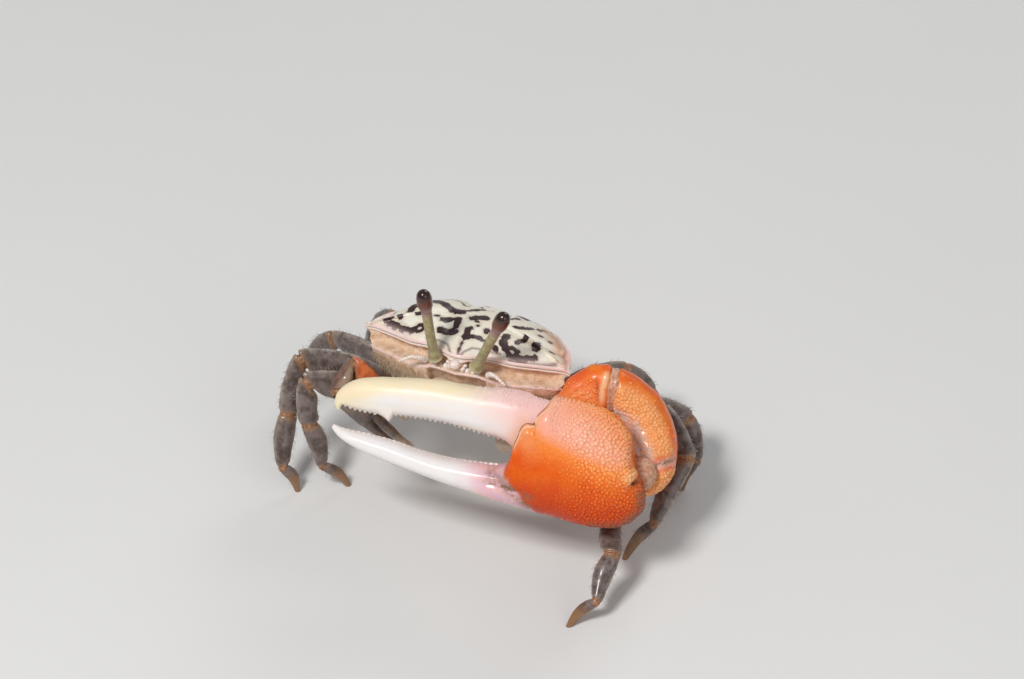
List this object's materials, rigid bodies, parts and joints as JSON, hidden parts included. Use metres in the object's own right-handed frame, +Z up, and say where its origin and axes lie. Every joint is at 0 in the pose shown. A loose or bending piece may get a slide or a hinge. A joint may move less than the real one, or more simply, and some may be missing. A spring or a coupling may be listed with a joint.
{
  "type": "fiddler crab",
  "caption": "Still, life-size male fiddler crab that stands on its walking legs with its large claw held across its face, for display.",
  "frame": {"origin": "on the floor, under the middle of the crab's overall box", "axes": "+Z up; the crab faces -Y; its left side, with the large claw's wrist, is +X"},
  "size_m": [0.0526, 0.0366, 0.0314],
  "materials": {
    "shell": "satin shell, cream white with dark purple-brown marks",
    "underside": "dull tan shell with fine hairs",
    "eyestalk": "smooth olive, slightly glossy",
    "eye": "wet gloss, dark red-brown",
    "claw": "orange shell with pale granules, satin",
    "finger": "smooth porcelain white, pale yellow above, pink at the hinge",
    "small_claw": "red-brown shell, satin",
    "leg": "wet grey-purple shell with brown tips"
  },
  "bodies": {
    "root": {"carapace": "shell", "underbody": "underside", "abdomen": "underside", "maxilliped_left": "underside", "maxilliped_right": "underside", "antenna_left": "underside", "antenna_right": "underside", "eyestalk_left": "eyestalk", "eyestalk_right": "eyestalk", "eye_left": "eye", "eye_right": "eye", "major_merus": "claw", "major_carpus": "claw", "major_palm": "claw", "major_finger": "finger", "minor_merus": "small_claw", "minor_carpus": "small_claw", "minor_palm": "small_claw", "minor_finger": "small_claw", "left_leg_1_merus": "leg", "left_leg_1_carpus": "leg", "left_leg_1_propodus": "leg", "left_leg_1_dactyl": "leg", "left_leg_2_merus": "leg", "left_leg_2_carpus": "leg", "left_leg_2_propodus": "leg", "left_leg_2_dactyl": "leg", "left_leg_3_merus": "leg", "left_leg_3_carpus": "leg", "left_leg_3_propodus": "leg", "left_leg_3_dactyl": "leg", "left_leg_4_merus": "leg", "left_leg_4_carpus": "leg", "left_leg_4_propodus": "leg", "left_leg_4_dactyl": "leg", "right_leg_1_merus": "leg", "right_leg_1_carpus": "leg", "right_leg_1_propodus": "leg", "right_leg_1_dactyl": "leg", "right_leg_2_merus": "leg", "right_leg_2_carpus": "leg", "right_leg_2_propodus": "leg", "right_leg_2_dactyl": "leg", "right_leg_3_merus": "leg", "right_leg_3_carpus": "leg", "right_leg_3_propodus": "leg", "right_leg_3_dactyl": "leg", "right_leg_4_merus": "leg", "right_leg_4_carpus": "leg", "right_leg_4_propodus": "leg", "right_leg_4_dactyl": "leg"}
  },
  "joints": []
}
